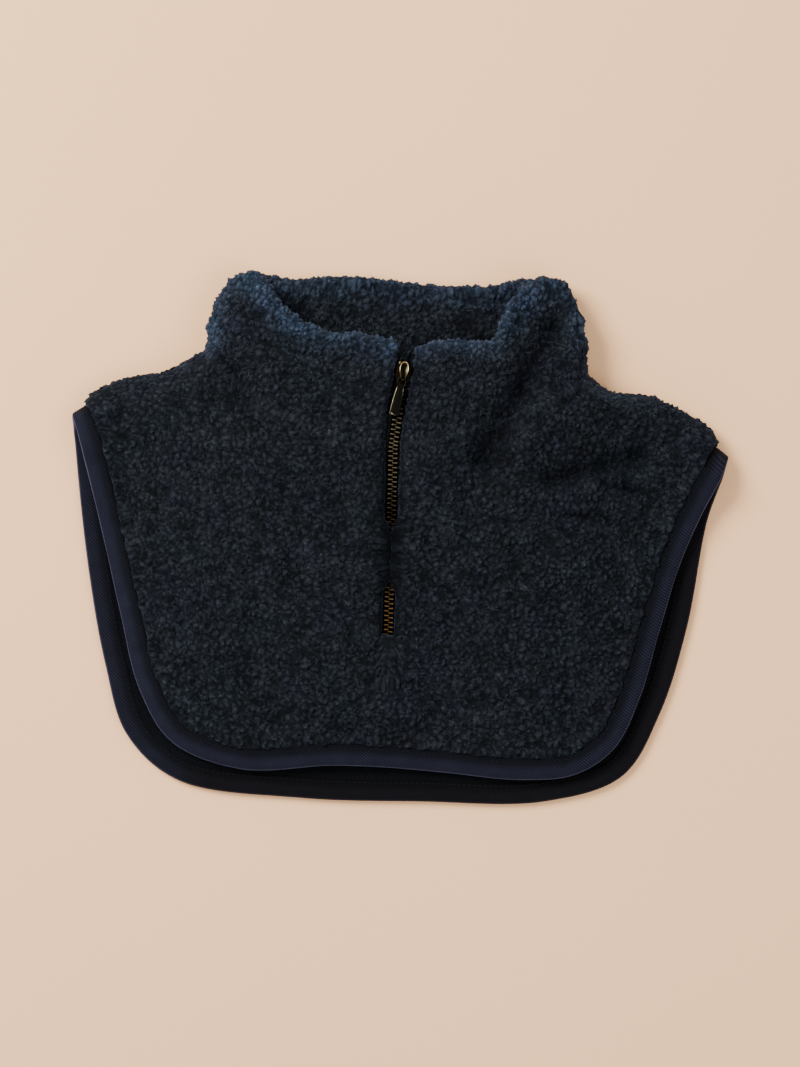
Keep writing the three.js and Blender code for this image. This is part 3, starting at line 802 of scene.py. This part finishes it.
def pull_tab():
    """The pull: a slim loop round the bridge and a tapered tab with a turned lip."""
    pivot = np.array((0, -PIVOT_BELOW_SLIDER_MIDDLE, PIVOT_HEIGHT))
    lean = math.radians(PULL_LEAN)
    ring = []
    for angle in range(0, 360, 12):
        turn = math.radians(angle)
        width = 2.3 - 0.35 * math.sin(turn)
        ring.append((width * math.cos(turn), -3.2 + 3.4 * math.sin(turn), 0))
    parts = [(*tube(ring, 0.5, sides=10, closed=True), -0.1)]
    outline = [(-1.4, -4.4), (-2.0, -7.5), (-2.45, -13), (-2.6, -21.6), (-2.1, -22.2),
               (2.1, -22.2), (2.6, -21.6), (2.45, -13), (2.0, -7.5), (1.4, -4.4)]
    parts.append((*slab(outline, -0.55, 0.3, 0.18), -0.2))
    rim = [(x * 0.95, y + (0.15 if y < -20 else 0), 0.3) for x, y in outline]
    # Painted highlight along the tab's left edge and the upper part of its right edge, and on the
    # left of its lip.
    parts.append((*tube(rim, 0.13, sides=8, closed=True),
                  lambda v: 0.62 if (v[0] < 0 or v[1] > -9) and v[1] < -4.9 else -0.1))
    lip = [(-2.0, -21.3, 0.4), (-0.4, -21.7, 0.5), (1.7, -21.9, 0.4)]
    parts.append((*tube(lip, 0.2, sides=8), lambda v: 0.6 - 0.5 * ramp(v[0], -0.6, 1.2)))

    def place(v):
        turned = np.array((v[0] * math.cos(lean) + v[1] * math.sin(lean),
                           -v[0] * math.sin(lean) + v[1] * math.cos(lean), v[2]))
        return slider_place(turned + pivot)
    return joined("pull_tab", parts, place)


# Materials

def new_material(name):
    material = bpy.data.materials.new(name)
    material.use_nodes = True
    tree = material.node_tree
    return material, tree, tree.nodes["Principled BSDF"]


def node(tree, kind, **inputs):
    made = tree.nodes.new(kind)
    for key, value in inputs.items():
        made.inputs[key.replace("_", " ")].default_value = value
    return made


def colours(tree, source, stops):
    ramp = tree.nodes.new("ShaderNodeValToRGB")
    while len(ramp.color_ramp.elements) < len(stops):
        ramp.color_ramp.elements.new(0.5)
    for element, (place, colour) in zip(ramp.color_ramp.elements, stops):
        element.position = place
        element.color = (*colour, 1)
    tree.links.new(source, ramp.inputs["Fac"])
    return ramp.outputs["Color"]


def object_coordinates(tree):
    return tree.nodes.new("ShaderNodeTexCoord").outputs["Object"]


def texture(tree, kind, **inputs):
    """A texture node laid out in the piece's own coordinates."""
    made = node(tree, kind, **inputs)
    tree.links.new(object_coordinates(tree), made.inputs["Vector"])
    return made


def bumped(tree, shader, height, strength, distance):
    bump = node(tree, "ShaderNodeBump", Strength=strength, Distance=distance)
    tree.links.new(height, bump.inputs["Height"])
    tree.links.new(bump.outputs["Normal"], shader.inputs["Normal"])


def multiplied(tree, one, other):
    blend = tree.nodes.new("ShaderNodeMix")
    blend.data_type = "RGBA"
    blend.blend_type = "MULTIPLY"
    blend.inputs["Factor"].default_value = 1
    tree.links.new(one, blend.inputs["A"])
    tree.links.new(other, blend.inputs["B"])
    return blend.outputs["Result"]


def level_of(tree, name):
    level = tree.nodes.new("ShaderNodeAttribute")
    level.attribute_name = name
    return level.outputs["Fac"]


def scaled(tree, source, factor, added):
    sum_of = node(tree, "ShaderNodeMath")
    sum_of.operation = "MULTIPLY_ADD"
    tree.links.new(source, sum_of.inputs[0])
    sum_of.inputs[1].default_value = factor
    if isinstance(added, float):
        sum_of.inputs[2].default_value = added
    else:
        tree.links.new(added, sum_of.inputs[2])
    return sum_of.outputs[0]


def pile_material():
    """Dark navy curls: near black in the creases and blue grey and fuzzy on the tips, by painted
    shade and painted highlight; painted sheen lightens steep faces and the rim.
    """
    material, tree, shader = new_material("pile_cloth")
    fibre = texture(tree, "ShaderNodeTexNoise", Scale=1300, Detail=4, Roughness=0.7)
    patch = texture(tree, "ShaderNodeTexNoise", Scale=38, Detail=2)
    fleck = texture(tree, "ShaderNodeTexNoise", Scale=900, Detail=1)
    # Painted shade and painted highlight: near black down in the crevices between curls, blue grey
    # on their tips.
    height = scaled(tree, level_of(tree, "curl"), 0.85, -0.14)
    value = scaled(tree, fibre.outputs["Fac"], 0.42, height)
    shade = colours(tree, value, [
        (0.0, (0.0016, 0.0018, 0.0024)), (0.1, (0.0012, 0.0014, 0.0018)),
        (0.36, (0.0044, 0.0053, 0.007)), (0.62, (0.0088, 0.0106, 0.0138)),
        (0.92, (0.0165, 0.0196, 0.0248))])
    # Painted sheen: lighter and bluer on steep faces and along the rim, where the pile also stands
    # combed.
    fuzz_and_sheen_tint = colours(tree, level_of(tree, "fuzz_and_sheen"), [
        (0.0, (1.0, 1.0, 1.0)), (0.5, (1.55, 1.75, 2.1)), (1.0, (2.2, 2.7, 3.5))])
    # Painted shade: darker in the creases and in the zip's groove.
    shaded = colours(tree, level_of(tree, "shade"), [
        (0.0, (1.0, 1.0, 1.0)), (0.5, (0.5, 0.5, 0.52)), (1.0, (0.1, 0.1, 0.11))])
    tint = colours(tree, patch.outputs["Fac"], [
        (0.36, (0.94, 1.01, 1.0)), (0.5, (1.04, 1.0, 0.95)), (0.64, (1.0, 0.97, 1.07))])
    light = colours(tree, fleck.outputs["Fac"], [
        (0.0, (0.85, 0.86, 0.88)), (0.66, (1.1, 1.1, 1.1)), (0.74, (2.8, 2.8, 2.8))])
    shade = multiplied(tree, multiplied(tree, shade, fuzz_and_sheen_tint), multiplied(tree, tint, shaded))
    tree.links.new(multiplied(tree, shade, light), shader.inputs["Base Color"])
    bumped(tree, shader, fibre.outputs["Fac"], 0.9, 0.0006)
    shader.inputs["Roughness"].default_value = 0.95
    shader.inputs["Specular IOR Level"].default_value = 0.05
    shader.inputs["Sheen Weight"].default_value = 0.08
    shader.inputs["Sheen Roughness"].default_value = 0.45
    shader.inputs["Sheen Tint"].default_value = (0.38, 0.52, 0.8, 1)
    return material


def fibre_material():
    material, tree, shader = new_material("loose_fibre")
    spread = texture(tree, "ShaderNodeTexNoise", Scale=260, Detail=2)
    shade = colours(tree, spread.outputs["Fac"], [
        (0.35, (0.004, 0.005, 0.007)), (0.6, (0.012, 0.015, 0.02)), (0.75, (0.05, 0.053, 0.06))])
    tree.links.new(shade, shader.inputs["Base Color"])
    shader.inputs["Roughness"].default_value = 0.55
    shader.inputs["Sheen Weight"].default_value = 0.2
    shader.inputs["Sheen Tint"].default_value = (0.45, 0.6, 0.85, 1)
    return material


def binding_material():
    """Navy twill tape with fine slanting ribs, a painted highlight along its folded edge, and
    painted shade towards its inner edge and along the back half.
    """
    material, tree, shader = new_material("twill_tape")
    twill = texture(tree, "ShaderNodeTexWave", Scale=320, Distortion=0.5, Detail=1)
    twill.bands_direction = "DIAGONAL"
    patch = texture(tree, "ShaderNodeTexNoise", Scale=120, Detail=4, Roughness=0.6)
    # Painted highlight along the folded outer edge, and painted shade towards the inner edge where
    # the pile overhangs.
    edge = colours(tree, level_of(tree, "width"), [
        (0.0, (0.08, 0.08, 0.135)), (0.035, (0.038, 0.04, 0.073)), (0.09, (0.0068, 0.0075, 0.0138)),
        (0.45, (0.0064, 0.007, 0.0128)), (0.72, (0.003, 0.0033, 0.0055)),
        (0.9, (0.0018, 0.002, 0.0032))])
    # Painted shade: the back half of the tape is darker.
    back_shaded = colours(tree, level_of(tree, "back_shade"), [
        (0.5, (0.42, 0.36, 0.27)), (1.0, (1.0, 1.0, 1.0))])
    ribs = colours(tree, twill.outputs["Fac"], [
        (0.2, (0.55, 0.55, 0.58)), (0.8, (1.45, 1.45, 1.42))])
    brightness = colours(tree, patch.outputs["Fac"], [
        (0.3, (0.85, 0.85, 0.85)), (0.7, (1.15, 1.15, 1.2))])
    edge = multiplied(tree, edge, back_shaded)
    tree.links.new(multiplied(tree, multiplied(tree, edge, ribs), brightness),
                   shader.inputs["Base Color"])
    bumped(tree, shader, twill.outputs["Fac"], 0.5, 0.0003)
    shader.inputs["Roughness"].default_value = 0.9
    shader.inputs["Specular IOR Level"].default_value = 0.06
    shader.inputs["Sheen Weight"].default_value = 0.03
    shader.inputs["Sheen Tint"].default_value = (0.5, 0.55, 0.85, 1)
    return material


def thread_material():
    material, tree, shader = new_material("thread")
    twist = texture(tree, "ShaderNodeTexNoise", Scale=2500, Detail=2)
    shade = colours(tree, twist.outputs["Fac"],
                    [(0.3, (0.002, 0.0022, 0.004)), (0.7, (0.005, 0.0055, 0.009))])
    tree.links.new(shade, shader.inputs["Base Color"])
    shader.inputs["Roughness"].default_value = 0.7
    shader.inputs["Specular IOR Level"].default_value = 0.1
    return material


def tape_material():
    """Close woven zip tape, near black."""
    material, tree, shader = new_material("zip_tape_weave")
    weave = texture(tree, "ShaderNodeTexWave", Scale=300, Distortion=0.4)
    shade = colours(tree, weave.outputs["Fac"],
                    [(0.2, (0.0012, 0.0014, 0.0018)), (0.8, (0.0034, 0.0038, 0.005))])
    tree.links.new(shade, shader.inputs["Base Color"])
    bumped(tree, shader, weave.outputs["Fac"], 0.4, 0.0002)
    shader.inputs["Roughness"].default_value = 0.9
    shader.inputs["Specular IOR Level"].default_value = 0.1
    return material


def brass_material(name, dark, light, roughness):
    """Antique brass: brown in the hollows, bright where worn and where highlights are painted,
    darker where shade is painted, redder at the zip's end.
    """
    material, tree, shader = new_material(name)
    stain = texture(tree, "ShaderNodeTexNoise", Scale=900, Detail=4, Roughness=0.65)
    # The stored brightness holds wear together with painted highlights and painted shade.
    wear_and_light = scaled(tree, level_of(tree, "brightness"), 0.8, -0.08)
    wear_and_light = scaled(tree, stain.outputs["Fac"], 0.35, wear_and_light)
    middle = tuple(0.84 * d + 0.16 * l for d, l in zip(dark, light))
    shade = colours(tree, wear_and_light, [(0.12, dark), (0.45, middle), (0.85, light)])
    parts = tree.nodes.new("ShaderNodeSeparateXYZ")
    tree.links.new(object_coordinates(tree), parts.inputs["Vector"])
    along = node(tree, "ShaderNodeMapRange", From_Min=-0.045, From_Max=0.02)
    tree.links.new(parts.outputs["Y"], along.inputs["Value"])
    warmth = colours(tree, along.outputs["Result"],
                     [(0.0, (1.15, 0.84, 0.6)), (1.0, (0.94, 1.0, 1.04))])
    tree.links.new(multiplied(tree, shade, warmth), shader.inputs["Base Color"])
    scratch = texture(tree, "ShaderNodeTexNoise", Scale=2600, Detail=2)
    rough = node(tree, "ShaderNodeMapRange", To_Min=roughness - 0.08, To_Max=roughness + 0.15)
    tree.links.new(scratch.outputs["Fac"], rough.inputs["Value"])
    tree.links.new(rough.outputs["Result"], shader.inputs["Roughness"])
    bumped(tree, shader, scratch.outputs["Fac"], 0.25, 0.0001)
    shader.inputs["Metallic"].default_value = 1.0
    return material


def floor_material():
    material, tree, shader = new_material("floor_paper")
    grain = texture(tree, "ShaderNodeTexNoise", Scale=3, Detail=2)
    shade = colours(tree, grain.outputs["Fac"],
                    [(0.3, (0.855, 0.5, 0.263)), (0.7, (0.87, 0.51, 0.27))])
    tree.links.new(shade, shader.inputs["Base Color"])
    shader.inputs["Roughness"].default_value = 0.95
    shader.inputs["Specular IOR Level"].default_value = 0.1
    return material


def dress(piece, material, body, slot, *nodes):
    piece.data.materials.clear()
    piece.data.materials.append(material)
    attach(piece, body)
    if nodes:
        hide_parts(*nodes)
    return piece


# Camera, light and floor

def stage_and_camera():
    camera_data = bpy.data.cameras.new("camera")
    camera_data.sensor_fit = "VERTICAL"
    camera_data.sensor_height = SENSOR
    camera_data.lens = SENSOR * CAMERA_HEIGHT / PICTURE_TALL
    camera = bpy.data.objects.new("camera", camera_data)
    camera.location = (*CAMERA_AIM, CAMERA_HEIGHT + CAMERA_LIFT)
    bpy.context.scene.collection.objects.link(camera)
    bpy.context.scene.camera = camera

    corners = [(FLOOR_HALF * x, FLOOR_HALF * y, 0) for x, y in ((-1, -1), (1, -1), (1, 1), (-1, 1))]
    floor = mesh_object("floor", corners, [(0, 1, 2, 3)], smooth=False)
    floor.data.materials.append(floor_material())

    lights = [
        ("key", (-1.1, 0.9, 1.4), 1.0, 80, (1, 0.985, 0.96)),
        ("fill", (1.1, -0.5, 1.8), 1.6, 22, (1, 1, 1)),
    ]
    for name, place, size, power, colour in lights:
        data = bpy.data.lights.new(name, "AREA")
        data.shape = "DISK"
        data.size = size
        data.energy = power
        data.color = colour
        lamp = bpy.data.objects.new(name, data)
        lamp.location = place
        lamp.rotation_euler = (-Vector(place)).to_track_quat("-Z", "Y").to_euler()
        bpy.context.scene.collection.objects.link(lamp)
    world = bpy.data.worlds.new("studio")
    world.use_nodes = True
    world.node_tree.nodes["Background"].inputs["Color"].default_value = (1, 1, 1, 1)
    world.node_tree.nodes["Background"].inputs["Strength"].default_value = 0.85
    bpy.context.scene.world = world


def build():
    fine = 0.85
    coarse = 1.45
    down, up = (0, 0, -1), (0, 0, 1)
    cloth = pile_material()
    front = dense_copy("front_pile", "front_panel", fine * 1.06, 3, backing=down)
    pile(front, 3.0, cloth_tree("collar", "back_panel"), backing=down, front=True)
    back = dense_copy("back_pile", "back_panel", coarse, 2)
    pile(back, 11.0, cloth_tree("collar", "front_panel"), tall=1.6, backing=up)
    neck = dense_copy("collar_pile", "collar", fine * 0.95, 4)
    pile(neck, 23.0, cloth_tree("front_panel", "back_panel"), tall=2.2, front=True, rim=True)

    dress(front, cloth, "garment", "pile", "front_panel")
    dress(back, cloth, "garment", "pile", "back_panel")
    dress(neck, cloth, "garment", "pile", "collar")
    loose = fibres("pile_fibres", [
        (front, 1500, 1.8, lambda p, n: n[:, 2] > 0),
        (neck, 2200, 2.4, lambda p, n: (n[:, 2] > -0.2) & (p[:, 2] > 3)),
    ], seed=5)
    dress(loose, fibre_material(), "garment", "pile")
    tape = binding_material()
    tape_piece = dress(binding(), tape, "garment", "binding", "edge_binding")
    thread = dress(stitches(), thread_material(), "garment", "binding")
    brass = brass_material("antique_brass", (0.006, 0.004, 0.002), (0.8, 0.6, 0.32), 0.34)
    bronze = brass_material("dark_bronze", (0.006, 0.0055, 0.004), (0.5, 0.41, 0.26), 0.34)
    dress(teeth("teeth_left", -1), brass, "garment", "zip_metal", "zip_teeth_left")
    dress(teeth("teeth_right", 1), brass, "garment", "zip_metal", "zip_teeth_right")
    dress(slider_body(), brass, "garment", "zip_metal", "zip_slider")
    dress(pull_tab(), bronze, "pull", "zip_metal", "zip_pull")
    weave = tape_material()
    tapes = [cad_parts[name] for name in ("zip_tape_left", "zip_tape_right")]
    for carried in tapes:
        for slot in carried.material_slots:
            slot.material = weave


stage_and_camera()
build()
